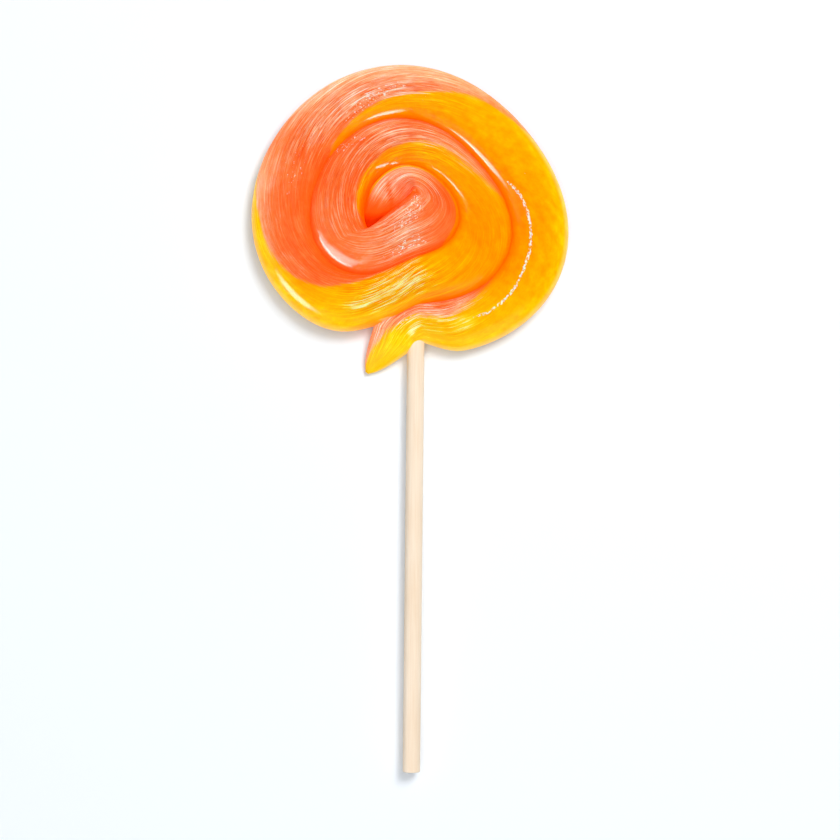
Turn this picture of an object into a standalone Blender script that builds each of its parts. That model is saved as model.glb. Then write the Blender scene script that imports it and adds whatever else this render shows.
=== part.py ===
"""Swirl lollipop: one pulled-sugar rope of two twisted strands, coiled flat on a round wooden stick.

Lengths are in metres and angles in degrees. The lollipop lies on its back, its stick towards -Y.
A winding angle runs anticlockwise from +X and grows inwards along the rope, past 360 on each new turn.
"""

import math
from typing import NamedTuple

import bmesh
import bpy
from mathutils import Matrix, Vector

# Stick: pushed in from the rim, a little off the head's centre and a little out of true.
STICK_DIAMETER = 0.0045
STICK_LENGTH = 0.150
STICK_END = Vector((0.0006, -0.1445, 0.0038))
STICK_LEAN = 0.59
STICK_EASE = 0.0003
BORE_GAP = 0.0003

# Coil: the rope's outer edge is a spiral that steps in once a turn, with slow waves from the hand.
TURN_RADII = (0.04046, 0.02532, 0.01228)
STEP_WINDS = (251.5, 607.4)
STEP_SPANS = (5.42, 11.9)
WAVES = (0.00116, 0.00133, 0.00106)
WAVE_GAINS = (1.0, 1.1, 0.39)
WAVE_LAGS = (0.0, 0.24, 7.5)
HEAD_SQUASH = 0.92
NECK_WIND = -72.3
NECK_SPAN = 1.5
NECK_SLOPE = 0.00031

# Tail: the rope's outer end, bent away from the coil and drawn out to a point.
TAIL_WIND = -84.0
TAIL_BEND_RADIUS = 0.0103
TAIL_BEND = 47.0
TAIL_STRAIGHT = 0.0118
TAIL_TAPER = 0.6
TAIL_TIP = 0.0005
TAIL_WIND_RATE = 2000.0
TIP_THINNING = 1.5

# Lap: beside the tail, the rope's outer edge runs on under it, and the tail over that edge.
LAP_WIND = 261.0
LAP_SPAN = 12.0
LAP_UNDER = 0.0034
LAP_OVER = 0.0011

# Core: the rope's inner end doubles back about a pivot, beside a straight crease.
PIVOT = Vector((0.0018, 0.0042))
CREASE_FOOT = Vector((-0.0104, -0.0050))
CREASE_WIND = 567.0
HAIRPIN_START = 715.0
HAIRPIN_END = 815.0
HAIRPIN_EASE = 14.0
HAIRPIN_GAP = 0.0001
CORE_END = 922.0
EYE_RADIUS = 0.0008
EYE_TOP = 0.0080

# Rope: pressed flat on its back, its turns sunk a little into each other.
TURN_CREST = 0.0095
TAIL_CREST = 0.0078
TIP_CREST = 0.0018
CORE_CREST = 0.0104
LOBE_CREST = 0.0030
TAIL_RISE = (-84.0, -40.0)
CORE_RISE = (480.0, 620.0)
LOBE_FALL = (795.0, 890.0)
MIDDLE_SHARE = 0.42
SINK = 0.0006
SINK_RISE = (236.0, 262.0)
PRESS = 0.0004
TOP_FULLNESS = 2.3
BACK_FULLNESS = 4.0
EYE_FULLNESS = 6.0

# Twist: where the coral strand's two edges lie round the section, as (winding angle, angle round).
# Round the section 0 is the outer edge, 90 the crest, 180 the inner edge and 270 the back.
CORAL_START = (
    (-124, 150), (-110, 125), (-98, 102), (-84, 100), (-60, 127), (-40, 148), (-20, 165), (168, 360),
    (182, 405), (227, 473), (250, 517), (640, 710), (672, 743), (690, 757), (922, 770),
)
CORAL_END = (
    (-124, 300), (-60, 310), (40, 360), (80, 440), (120, 485), (142, 518), (360, 725), (386, 794),
    (430, 805), (480, 837), (540, 860), (566, 895), (922, 1040),
)

# Mesh: sections along the rope, strand columns round it, and where the rope is cut into pieces
# so that none of them meets itself before the union.
SECTION_SPACING = 0.0031
SHORTEST_RADIUS = 0.0155
CORAL_COLUMNS = 17
AMBER_COLUMNS = 17
CUT_WINDS = (150.0, 400.0, 567.0, 765.0)
ROD_SIDES = 32
SHARP_ANGLE = 40
TABLE_SIZE = Vector((0.2, 0.2, 0.002))

CORAL = (0.95, 0.22, 0.09)
AMBER = (1.0, 0.45, 0.01)
BIRCH = (0.93, 0.75, 0.56)
CANDY_ROUGHNESS = 0.12
CANDY_DEPTH = 0.002
WOOD_ROUGHNESS = 0.6


class Section(NamedTuple):
    """One cross-section of the rope, upright over the line from its outer to its inner edge."""

    outer: Vector
    inner: Vector
    crest: float
    fullness: float
    wind: float


def rise(value, start, span):
    """Goes smoothly from 0 to 1 as value passes start."""
    return 1 / (1 + math.exp(-(value - start) / span))


def between(value, low, high):
    """Goes from 0 at low to 1 at high with eased ends, and stays level outside."""
    share = min(max((value - low) / (high - low), 0.0), 1.0)
    return share * share * (3 - 2 * share)


def bump(value, middle, span):
    return math.exp(-(((value - middle) / span) ** 2))


def mix(first, second, share):
    return first + (second - first) * share


def through(knots, value):
    """Reads a smooth curve, with no overshoot, through (value, result) knots."""
    if value <= knots[0][0]:
        return knots[0][1]
    if value >= knots[-1][0]:
        return knots[-1][1]
    index = next(index for index, knot in enumerate(knots) if value < knot[0])
    slopes = [(after[1] - before[1]) / (after[0] - before[0]) for before, after in zip(knots, knots[1:])]
    tangents = []
    for at in (index - 1, index):
        before = slopes[max(at - 1, 0)]
        after = slopes[min(at, len(slopes) - 1)]
        tangents.append(2 * before * after / (before + after) if before * after > 0 else 0.0)
    (start, low), (end, high) = knots[index - 1], knots[index]
    share = (value - start) / (end - start)
    rest = 1 - share
    level = low * rest * rest * (1 + 2 * share) + high * share * share * (1 + 2 * rest)
    return level + (end - start) * share * rest * (tangents[0] * rest - tangents[1] * share)


def of_turn(values, wind):
    """The value for the turn at this winding angle, blended where the spiral steps in."""
    first = rise(wind, STEP_WINDS[0], STEP_SPANS[0])
    second = rise(wind, STEP_WINDS[1], STEP_SPANS[1])
    return values[0] + (values[1] - values[0]) * first + (values[2] - values[1]) * second


def edge_point(wind):
    """The rope's outer edge, seen from above."""
    lagged = math.radians(wind - of_turn(WAVE_LAGS, wind))
    waves = sum(height * math.sin((order + 1) * lagged) for order, height in enumerate(WAVES))
    neck = NECK_SLOPE * NECK_SPAN * math.log1p(math.exp((NECK_WIND - wind) / NECK_SPAN))
    radius = of_turn(TURN_RADII, wind) - of_turn(WAVE_GAINS, wind) * waves - neck
    angle = math.radians(wind)
    return Vector((radius * math.cos(angle), HEAD_SQUASH * radius * math.sin(angle)))


def inner_point(wind):
    """The rope's inner edge: the next turn's outer edge, then up the crease and back down it."""
    if wind <= CREASE_WIND:
        return edge_point(wind + 360)
    if wind < HAIRPIN_START:
        share = (HAIRPIN_START - wind) / (HAIRPIN_START - CREASE_WIND)
    else:
        share = max(wind - HAIRPIN_END, 0.0) / (CORE_END - HAIRPIN_END)
    return PIVOT.lerp(CREASE_FOOT, share)


def crest_height(wind):
    """Height of the rope's crest above its back."""
    outer_turn = mix(TAIL_CREST, TURN_CREST, between(wind, *TAIL_RISE))
    core = mix(outer_turn, CORE_CREST, between(wind, *CORE_RISE))
    return mix(core, LOBE_CREST, between(wind, *LOBE_FALL))


def coil_section(wind):
    """The coiled rope's section, its edges sunk a little into its neighbours."""
    outer = edge_point(wind)
    inner = inner_point(wind)
    across = (inner - outer).normalized()
    turned = between(wind, HAIRPIN_START - HAIRPIN_EASE, HAIRPIN_START)
    hairpin = turned * (1 - between(wind, HAIRPIN_END, HAIRPIN_END + HAIRPIN_EASE))
    under = LAP_UNDER * bump(wind, LAP_WIND, LAP_SPAN)
    over = LAP_OVER * bump(wind + 360, LAP_WIND, LAP_SPAN * 2)
    outer -= across * (SINK * between(wind, *SINK_RISE) + under)
    inner += across * (mix(SINK, -HAIRPIN_GAP, hairpin) + over)
    return Section(outer, inner, crest_height(wind), mix(TOP_FULLNESS, EYE_FULLNESS, hairpin), wind)


def tail_section(root, distance):
    """The tail's section at this distance from its root, along an arc and then a straight."""
    half = (root.inner - root.outer).length / 2
    across = (root.inner - root.outer).normalized()
    centre = (root.inner + root.outer) / 2 - across * TAIL_BEND_RADIUS
    turned = min(distance / TAIL_BEND_RADIUS, math.radians(TAIL_BEND))
    beyond = distance - turned * TAIL_BEND_RADIUS
    side = Matrix.Rotation(turned, 2) @ across
    middle = centre + side * TAIL_BEND_RADIUS + side.orthogonal() * beyond
    drawn = beyond / TAIL_STRAIGHT
    width = max(half * max(1 - drawn, 0.0) ** TAIL_TAPER, TAIL_TIP)
    crest = mix(TAIL_CREST, TIP_CREST, drawn ** TIP_THINNING)
    wind = TAIL_WIND - distance * TAIL_WIND_RATE
    return Section(middle - side * width, middle + side * width, crest, TOP_FULLNESS, wind)


def rope_sections():
    """All the rope's sections, from the tail's tip to the end of the core."""
    root = coil_section(TAIL_WIND)
    length = math.radians(TAIL_BEND) * TAIL_BEND_RADIUS + TAIL_STRAIGHT
    steps = math.ceil(2 * length / SECTION_SPACING)
    sections = [tail_section(root, length * step / steps) for step in range(steps, 0, -1)]
    wind = TAIL_WIND
    while wind < CORE_END:
        sections.append(coil_section(wind))
        radius = (edge_point(wind) + inner_point(wind)).length / 2
        wind += math.degrees(SECTION_SPACING / max(radius, SHORTEST_RADIUS))
    sections.append(coil_section(CORE_END))
    return sections


def section_angles(wind):
    """Angles round the section: the coral strand's columns, then the amber strand's."""
    start = through(CORAL_START, wind)
    end = through(CORAL_END, wind)
    coral = [mix(start, end, column / CORAL_COLUMNS) for column in range(CORAL_COLUMNS)]
    amber = [mix(end, start + 360, column / AMBER_COLUMNS) for column in range(AMBER_COLUMNS)]
    return coral + amber


def section_point(section, angle):
    """A point on the rope's skin, at this angle round the section."""
    across = -math.cos(math.radians(angle))
    middle = section.crest * MIDDLE_SHARE
    if math.sin(math.radians(angle)) > 0:
        reach = section.crest - middle
        fullness = section.fullness if across > 0 else TOP_FULLNESS
    else:
        reach = -middle - PRESS
        fullness = BACK_FULLNESS
    height = middle + reach * (1 - abs(across) ** fullness) ** (1 / fullness)
    place = section.outer.lerp(section.inner, (1 + across) / 2)
    return place.x, place.y, height


def rope_piece(name, sections, materials):
    """A closed loft through the sections, its faces laid along the strands."""
    shape = bmesh.new()
    rings = []
    for section in sections:
        points = [section_point(section, angle) for angle in section_angles(section.wind)]
        rings.append([shape.verts.new(point) for point in points])
    columns = CORAL_COLUMNS + AMBER_COLUMNS
    for ring, onward in zip(rings, rings[1:]):
        for column in range(columns):
            beside = (column + 1) % columns
            face = shape.faces.new((ring[column], ring[beside], onward[beside], onward[column]))
            face.material_index = 0 if column < CORAL_COLUMNS else 1
    shape.faces.new(rings[0])
    shape.faces.new(rings[-1])
    bmesh.ops.recalc_face_normals(shape, faces=shape.faces)
    bmesh.ops.triangulate(shape, faces=shape.faces)
    return mesh_object(name, shape, materials)


def rod(name, start, along, length, radius, materials, ease=0.0):
    """A round bar from start, its ends eased where ease is set."""
    shape = bmesh.new()
    upright = Vector((0, 0, 1)).rotation_difference(along).to_matrix().to_4x4()
    place = Matrix.Translation(start + along * length / 2) @ upright
    bmesh.ops.create_cone(
        shape, cap_ends=True, segments=ROD_SIDES, radius1=radius, radius2=radius, depth=length, matrix=place
    )
    if ease:
        ends = [face for face in shape.faces if len(face.verts) == ROD_SIDES]
        rims = {edge for face in ends for edge in face.edges}
        bmesh.ops.bevel(shape, geom=list(rims), offset=ease, segments=2, profile=0.5, affect="EDGES")
    return mesh_object(name, shape, materials)


def table_cutter(materials):
    """A block with its top at the surface that the lollipop lies on."""
    shape = bmesh.new()
    place = Matrix.Translation((0, 0, -TABLE_SIZE.z / 2)) @ Matrix.Diagonal(TABLE_SIZE).to_4x4()
    bmesh.ops.create_cube(shape, size=1, matrix=place)
    return mesh_object("table", shape, materials)


def mesh_object(name, shape, materials):
    mesh = bpy.data.meshes.new(name)
    shape.to_mesh(mesh)
    shape.free()
    for material in materials:
        mesh.materials.append(material)
    return bpy.data.objects.new(name, mesh)


def add_cutter(cutters, obj):
    obj.hide_render = True
    obj.display_type = "WIRE"
    cutters.objects.link(obj)


def apply_boolean(target, operation, cutters):
    """Joins target with the cutters or cuts it by them, and removes them."""
    modifier = target.modifiers.new(operation.title(), "BOOLEAN")
    modifier.operation = operation
    modifier.operand_type = "COLLECTION"
    modifier.collection = cutters
    graph = bpy.context.evaluated_depsgraph_get()
    target.data = bpy.data.meshes.new_from_object(target.evaluated_get(graph))
    target.modifiers.clear()
    for cutter in list(cutters.objects):
        bpy.data.objects.remove(cutter)
    keep_main_shell(target)


def keep_main_shell(obj):
    """Drops the slivers that a Boolean leaves where two turns only just touch."""
    shape = bmesh.new()
    shape.from_mesh(obj.data)
    shells = []
    unseen = set(shape.faces)
    while unseen:
        shell = set()
        front = [unseen.pop()]
        while front:
            face = front.pop()
            shell.add(face)
            beside = {other for edge in face.edges for other in edge.link_faces} & unseen
            unseen -= beside
            front.extend(beside)
        shells.append(shell)
    main_shell = max(shells, key=len)
    slivers = [face for face in shape.faces if face not in main_shell]
    bmesh.ops.delete(shape, geom=slivers, context="FACES")
    shape.to_mesh(obj.data)
    shape.free()


def candy_material(name, colour):
    material = bpy.data.materials.new(name)
    material.diffuse_color = (*colour, 1)
    material.use_nodes = True
    shader = material.node_tree.nodes["Principled BSDF"]
    shader.inputs["Base Color"].default_value = (*colour, 1)
    shader.inputs["Roughness"].default_value = CANDY_ROUGHNESS
    shader.inputs["Subsurface Weight"].default_value = 0.4
    shader.inputs["Subsurface Scale"].default_value = CANDY_DEPTH
    return material


def wood_material(name, colour):
    material = bpy.data.materials.new(name)
    material.diffuse_color = (*colour, 1)
    material.use_nodes = True
    shader = material.node_tree.nodes["Principled BSDF"]
    shader.inputs["Base Color"].default_value = (*colour, 1)
    shader.inputs["Roughness"].default_value = WOOD_ROUGHNESS
    return material


def smooth(obj):
    obj.data.shade_smooth()
    obj.data.set_sharp_from_angle(angle=math.radians(SHARP_ANGLE))


def new_collection(name):
    collection = bpy.data.collections.new(name)
    bpy.context.scene.collection.children.link(collection)
    return collection


def stick_direction():
    """Unit vector along the stick, from its free end into the head."""
    lean = math.radians(STICK_LEAN)
    return Vector((math.sin(lean), math.cos(lean), 0))


def build_candy(parts, cutters):
    """The whole rope, joined turn to turn, flat on its back and bored for the stick."""
    materials = [candy_material("coral_strand", CORAL), candy_material("amber_strand", AMBER)]
    sections = rope_sections()
    cuts = [sum(section.wind <= wind for section in sections) for wind in CUT_WINDS]
    starts = [0] + [cut - 2 for cut in cuts]
    stops = cuts + [len(sections)]
    candy = rope_piece("candy", sections[: stops[0]], materials)
    parts.objects.link(candy)
    for start, stop in zip(starts[1:], stops[1:]):
        add_cutter(cutters, rope_piece("rope", sections[start:stop], materials))
    add_cutter(cutters, rod("eye", PIVOT.to_3d(), Vector((0, 0, 1)), EYE_TOP, EYE_RADIUS, materials))
    apply_boolean(candy, "UNION", cutters)
    bore_radius = STICK_DIAMETER / 2 + BORE_GAP
    bore_length = STICK_LENGTH + BORE_GAP
    add_cutter(cutters, rod("bore", STICK_END, stick_direction(), bore_length, bore_radius, materials))
    add_cutter(cutters, table_cutter(materials))
    apply_boolean(candy, "DIFFERENCE", cutters)
    smooth(candy)


def build_stick(parts):
    """The round stick, its ends eased."""
    materials = [wood_material("birch", BIRCH)]
    radius = STICK_DIAMETER / 2
    stick = rod("stick", STICK_END, stick_direction(), STICK_LENGTH, radius, materials, STICK_EASE)
    parts.objects.link(stick)
    smooth(stick)


def main():
    for obj in list(bpy.data.objects):
        bpy.data.objects.remove(obj)
    parts = new_collection("lollipop")
    cutters = new_collection("cutters")
    cutters.hide_render = True
    build_candy(parts, cutters)
    build_stick(parts)


main()
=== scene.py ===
"""Looks of the swirl lollipop: a coiled rope of coral and amber pulled sugar on a birch stick.

Lengths are in metres and angles in degrees unless a name says otherwise. A winding angle runs
anticlockwise from +X and grows inwards along the rope, past 360 on each new turn. An angle round
the rope's section is 0 at its outer edge, 90 at its crest, 180 at its inner edge, 270 at its back.
"""

import logging
import math
from dataclasses import astuple, dataclass, field
from enum import Enum
from typing import Any, Callable, Sequence, Union

import bmesh
import bpy
import numpy as np
from mathutils import Matrix, Vector


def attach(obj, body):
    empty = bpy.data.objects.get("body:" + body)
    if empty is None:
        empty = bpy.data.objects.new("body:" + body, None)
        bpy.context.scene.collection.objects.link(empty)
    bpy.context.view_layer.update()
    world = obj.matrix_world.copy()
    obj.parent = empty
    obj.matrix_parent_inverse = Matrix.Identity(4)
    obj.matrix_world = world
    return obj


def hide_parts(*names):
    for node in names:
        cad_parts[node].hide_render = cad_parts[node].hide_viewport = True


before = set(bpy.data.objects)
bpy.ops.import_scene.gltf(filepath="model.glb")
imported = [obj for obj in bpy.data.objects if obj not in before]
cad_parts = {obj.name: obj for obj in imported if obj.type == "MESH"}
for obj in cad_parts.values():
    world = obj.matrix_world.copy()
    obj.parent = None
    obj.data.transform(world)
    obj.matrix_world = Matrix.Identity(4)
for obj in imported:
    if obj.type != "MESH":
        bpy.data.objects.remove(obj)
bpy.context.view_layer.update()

MM = 0.001
TINY = 1e-9
Array = np.ndarray
Row = tuple[float, ...]
Pair = tuple[float, float]
Triple = tuple[float, float, float]
Quad = tuple[float, float, float, float]
Knots = Sequence[Pair]
Zones = Sequence[Quad]

log = logging.getLogger("lollipop")


class Body(str, Enum):
    """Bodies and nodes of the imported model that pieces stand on."""

    ROOT = "root"
    CANDY = "candy"
    STICK = "stick"


def rise(value: Array, start: float, span: float) -> Array:
    """Goes from 0 to 1 round start, where it is a half, over a few spans."""
    return 1 / (1 + np.exp(-(value - start) / span))


def ease(value: Array, low: float, high: float) -> Array:
    """Goes from 0 at low to 1 at high with eased ends."""
    share = np.clip((value - low) / (high - low), 0.0, 1.0)
    return share * share * (3 - 2 * share)


def bump(value: Array, middle: float, span: float) -> Array:
    """A bell of height 1 round the middle, which has fallen to 1/e at a span from it."""
    return np.exp(-(((value - middle) / span) ** 2))


def plateau(value: Array, begin: float, full: float, fade: float, end: float) -> Array:
    """Goes up from 0 to 1 between begin and full, and down again between fade and end."""
    return ease(value, begin, full) * (1 - ease(value, fade, end))


def blend(first: Array, second: Array, share: Array) -> Array:
    """Mixes two values, with share as how much of the second to take."""
    return first + (second - first) * share


def through(knots: Knots, value: Array) -> Array:
    """Reads a smooth curve through knots, with no overshoot between them.

    Args:
        knots: Pairs of a value and its result, in rising order of value.
        value: Values to read.

    Returns:
        The results, one for each value.
    """
    at, level = np.array(knots, float).T
    slope = np.diff(level) / np.diff(at)
    before, after = np.r_[slope[:1], slope], np.r_[slope, slope[-1:]]
    same_way = before * after > 0
    tangent = np.where(same_way, 2 * before * after / np.where(same_way, before + after, 1.0), 0.0)
    value = np.clip(value, at[0], at[-1])
    index = np.clip(np.searchsorted(at, value, side="right") - 1, 0, len(at) - 2)
    reach = at[index + 1] - at[index]
    share = (value - at[index]) / reach
    rest = 1 - share
    ends = level[index] * rest**2 * (1 + 2 * share) + level[index + 1] * share**2 * (1 + 2 * rest)
    return ends + reach * share * rest * (tangent[index] * rest - tangent[index + 1] * share)


def unit(vectors: Array) -> Array:
    """Scales vectors along the last axis to length 1."""
    return vectors / np.linalg.norm(vectors, axis=-1, keepdims=True)


def loft(name: str, points: Array) -> tuple[bpy.types.Mesh, Array]:
    """Makes a closed skin over rings of points.

    Args:
        name: Name of the new mesh.
        points: Points by ring and place round it.

    Returns:
        The mesh, and the number of the point at each corner of its faces.
    """
    rings, sides = points.shape[:2]
    index = np.arange(rings * sides).reshape(rings, sides)
    beside = np.roll(index, -1, axis=1)
    quads = np.stack([index[:-1], index[1:], beside[1:], beside[:-1]], axis=-1).reshape(-1, 4)
    first, last = index[0], index[-1][::-1]
    mesh = bpy.data.meshes.new(name)
    faces = [*quads.tolist(), first.tolist(), last.tolist()]
    mesh.from_pydata(points.reshape(-1, 3).tolist(), [], faces)
    return mesh, np.r_[quads.reshape(-1), first, last]


@dataclass(frozen=True)
class Coil:
    """Plan of the coil: where the rope's outer and inner edges run, seen from above."""

    turn_radii: Triple = (0.04046, 0.02532, 0.01228)
    step_winds: Pair = (251.5, 607.4)
    step_spans: Pair = (5.42, 11.9)
    waves: Triple = (0.00116, 0.00133, 0.00106)
    wave_gains: Triple = (1.0, 1.1, 0.39)
    wave_lags: Triple = (0.0, 0.24, 7.5)
    squash: float = 0.92
    neck_wind: float = -72.3
    neck_span: float = 1.5
    neck_slope: float = 0.00031
    pivot: Pair = (0.0018, 0.0042)
    crease_foot: Pair = (-0.0104, -0.0050)
    crease_wind: float = 567.0
    hairpin: Pair = (715.0, 815.0)
    hairpin_power: float = 2.2
    end_wind: float = 922.0

    def by_turn(self, values: Sequence[float], wind: Array) -> Array:
        """Picks the value of the turn at each winding angle.

        Args:
            values: One value for each of the three turns.
            wind: Winding angles.

        Returns:
            The values, blended where the spiral steps in.
        """
        first = rise(wind, self.step_winds[0], self.step_spans[0])
        second = rise(wind, self.step_winds[1], self.step_spans[1])
        return values[0] + (values[1] - values[0]) * first + (values[2] - values[1]) * second

    def outer_edge(self, wind: Array) -> Array:
        """The rope's outer edge.

        Args:
            wind: Winding angles.

        Returns:
            Points in the plane, one row each.
        """
        lagged = np.radians(wind - self.by_turn(self.wave_lags, wind))
        waves = sum(height * np.sin((n + 1) * lagged) for n, height in enumerate(self.waves))
        past_neck = np.logaddexp(0.0, (self.neck_wind - wind) / self.neck_span)
        neck = self.neck_slope * self.neck_span * past_neck
        waves = self.by_turn(self.wave_gains, wind) * waves
        radius = self.by_turn(self.turn_radii, wind) - waves - neck
        angle = np.radians(wind)
        return np.stack([radius * np.cos(angle), self.squash * radius * np.sin(angle)], axis=-1)

    def inner_edge(self, wind: Array) -> Array:
        """The rope's inner edge: the next turn's outer edge, then up the crease and back down it.

        Args:
            wind: Winding angles.

        Returns:
            Points in the plane, one row each.
        """
        pivot, foot = np.array(self.pivot), np.array(self.crease_foot)
        crease = blend(pivot, foot, self.crease_share(wind)[:, None])
        return np.where((wind <= self.crease_wind)[:, None], self.outer_edge(wind + 360), crease)

    def crease_share(self, wind: Array) -> Array:
        """How far the inner edge is from the pivot towards the crease's foot.

        Args:
            wind: Winding angles.

        Returns:
            Values from 0 at the pivot to 1 at the foot.
        """
        up = (self.hairpin[0] - wind) / (self.hairpin[0] - self.crease_wind)
        down = (wind - self.hairpin[1]) / (self.end_wind - self.hairpin[1])
        return np.clip(np.maximum(up, down), 0.0, 1.0) ** self.hairpin_power


@dataclass(frozen=True)
class Twist:
    """Where the coral strand's two edges lie round the section, as (winding angle, angle round)."""

    coral_start: Knots = (
        (-124, 155), (-112, 130), (-104, 112), (-96, 104), (-84, 102), (-72, 108), (-60, 121),
        (-51, 140), (-42, 158), (-30, 172), (-15, 182), (156, 350), (168, 376), (184, 405),
        (190, 411), (197, 416), (207, 427), (218, 446), (227, 465), (235, 487), (250, 515),
        (640, 710), (672, 743), (690, 757), (922, 770),
    )
    coral_end: Knots = (
        (-124, 300), (-60, 310), (0, 360), (29, 374), (42, 393), (50, 401), (55, 408), (63, 415),
        (70, 426), (82, 446), (95, 459), (106, 470), (118, 481), (129, 491), (139, 500), (148, 525),
        (360, 728), (375, 762), (387, 775), (405, 786), (419, 795), (443, 808), (463, 825),
        (480, 835), (505, 844), (523, 850), (540, 860), (566, 895), (922, 1040),
    )
    fibre_drift: Knots = ((-124, -90), (-84, -60), (250, 170), (530, 330), (575, 345), (922, 350))

    def fibre_angle(self, grid: "Grid") -> Array:
        """Angles round the fibres, which cross the rope slowly, in radians."""
        return np.radians(grid.angle[None, :] - through(self.fibre_drift, grid.wind))

    def strand_angle(self, grid: "Grid") -> Array:
        """Angles round the twisted strands.

        Args:
            grid: The points of the skin.

        Returns:
            Angles in radians, by section and column: 0 to pi in coral, pi to 2 pi in amber.
        """
        start = through(self.coral_start, grid.wind)
        coral = through(self.coral_end, grid.wind) - start
        past = np.mod(grid.angle[None, :] - start, 360.0)
        return np.pi * np.where(past < coral, past / coral, 1 + (past - coral) / (360 - coral))


@dataclass(frozen=True)
class Fibres:
    """Fine ridges along the strands, from smooth seeded noise on a grid of strand coordinates."""

    seed: int = 7
    run: float = 0.012
    pitches: Row = (0.0013, 0.0007, 0.0004)
    heights: Row = (0.00004, 0.00010, 0.00009)
    rounding: float = 0.6
    level: float = 0.5
    bead: float = 0.0012
    lowest_bead: float = 0.25

    def layer(self, order: int, along: Array, around: Array, girth: float) -> Array:
        """One layer of noise.

        Args:
            order: Which of the pitches to use.
            along: Distance along the rope.
            around: Share of the way round the strands, from 0 to 1.
            girth: Distance round the rope.

        Returns:
            Noise from -1 to 1, the shape of along and around together.
        """
        columns = round(girth / self.pitches[order])
        rows = int(np.ceil(along.max() / self.run)) + 2
        grid = np.random.default_rng(self.seed + order).uniform(-1, 1, (rows, columns))
        row = along / self.run
        column = around * columns
        low_row, low_column = np.floor(row).astype(int), np.floor(column).astype(int)
        row_share = ease(row - low_row, 0, 1)
        column_share = ease(column - low_column, 0, 1)
        first, second = low_column % columns, (low_column + 1) % columns
        near = blend(grid[low_row, first], grid[low_row, second], column_share)
        far = blend(grid[low_row + 1, first], grid[low_row + 1, second], column_share)
        return blend(near, far, row_share)

    def beads(self, along: Array) -> Array:
        """Uneven heights along a line, from 0 to 1.

        Args:
            along: Distance along the rope.

        Returns:
            One value for each distance.
        """
        steps = int(np.ceil(along.max() / self.bead))
        heights = np.random.default_rng(self.seed).uniform(self.lowest_bead, 1, steps + 1)
        return np.interp(along, np.arange(steps + 1) * self.bead, heights)

    def relief(self, along: Array, around: Array, girth: float) -> Array:
        """Height of the ridges.

        Args:
            along: Distance along the rope.
            around: Share of the way round the fibres, from 0 to 1.
            girth: Distance round the rope.

        Returns:
            Heights in metres.
        """
        orders = range(len(self.pitches))
        swell, *threads = [self.layer(order, along, around, girth) for order in orders]
        rounded = [np.abs(layer) ** self.rounding - self.level for layer in threads]
        return sum(height * layer for height, layer in zip(self.heights, [swell, *rounded]))


@dataclass(frozen=True)
class Patch:
    """An oval patch of skin with a quality of its own.

    Attributes:
        wind: Winding angle of its middle.
        across: Place of its middle across the rope, from -1 at the outer edge to 1 at the inner.
        wind_reach: Half its length, in degrees of winding angle.
        across_reach: Half its width.
        slant: How much its middle moves across the rope for each degree.
        level: How strong it is.
    """

    wind: float
    across: float
    wind_reach: float
    across_reach: float
    slant: float = 0.0
    level: float = 1.0

    def shown(self, wind: Array, across: Array) -> Array:
        """How strong the patch is at each point.

        Args:
            wind: Winding angles, as a column.
            across: Places across the rope, as a row.

        Returns:
            Values by section and column.
        """
        middle = self.across + self.slant * (wind - self.wind)
        along = (wind - self.wind) / self.wind_reach
        far = along**2 + ((across - middle) / self.across_reach) ** 2
        return self.level * ease(1 - far, 0.0, 1.0)


@dataclass
class Sections:
    """Cross-sections along the rope, one row or value for each.

    Attributes:
        outer: Points of the outer edge.
        inner: Points of the inner edge.
        crest: Height of the crest above the back.
        fullness: How square the inner shoulder is.
        wind: Winding angles.
    """

    outer: Array
    inner: Array
    crest: Array
    fullness: Array
    wind: Array

    @property
    def along(self) -> Array:
        """Distance along the rope's middle from its first section."""
        middle = (self.outer + self.inner) / 2
        steps = np.linalg.norm(np.diff(middle, axis=0), axis=1)
        return np.r_[0.0, np.cumsum(steps)]


@dataclass
class Grid:
    """Sections and the angles round them, which together place every point of the skin.

    Attributes:
        sections: The sections.
        angle: Angles round each of them.
    """

    sections: Sections
    angle: Array

    @property
    def wind(self) -> Array:
        """Winding angles, as a column."""
        return self.sections.wind[:, None]

    @property
    def across(self) -> Array:
        """Places across the rope, from -1 at the outer edge to 1 at the inner, as a row."""
        return -np.cos(np.radians(self.angle))[None, :]

    @property
    def upper(self) -> Array:
        """Whether the skin is on the upper side, as a row."""
        return (self.angle <= 180)[None, :]

    def beside(self, low: float, high: float) -> tuple[Array, Array]:
        """How close the skin is to the outer and the inner edge, from 0 at low to 1 at high."""
        return ease(-self.across, low, high), ease(self.across, low, high)

    def patched(self, patches: Sequence[Patch]) -> Array:
        """Adds up patches of the upper skin, to 1 at most."""
        total = sum(patch.shown(self.wind, self.across) for patch in patches)
        return np.minimum(total, 1.0) * self.upper


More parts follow.
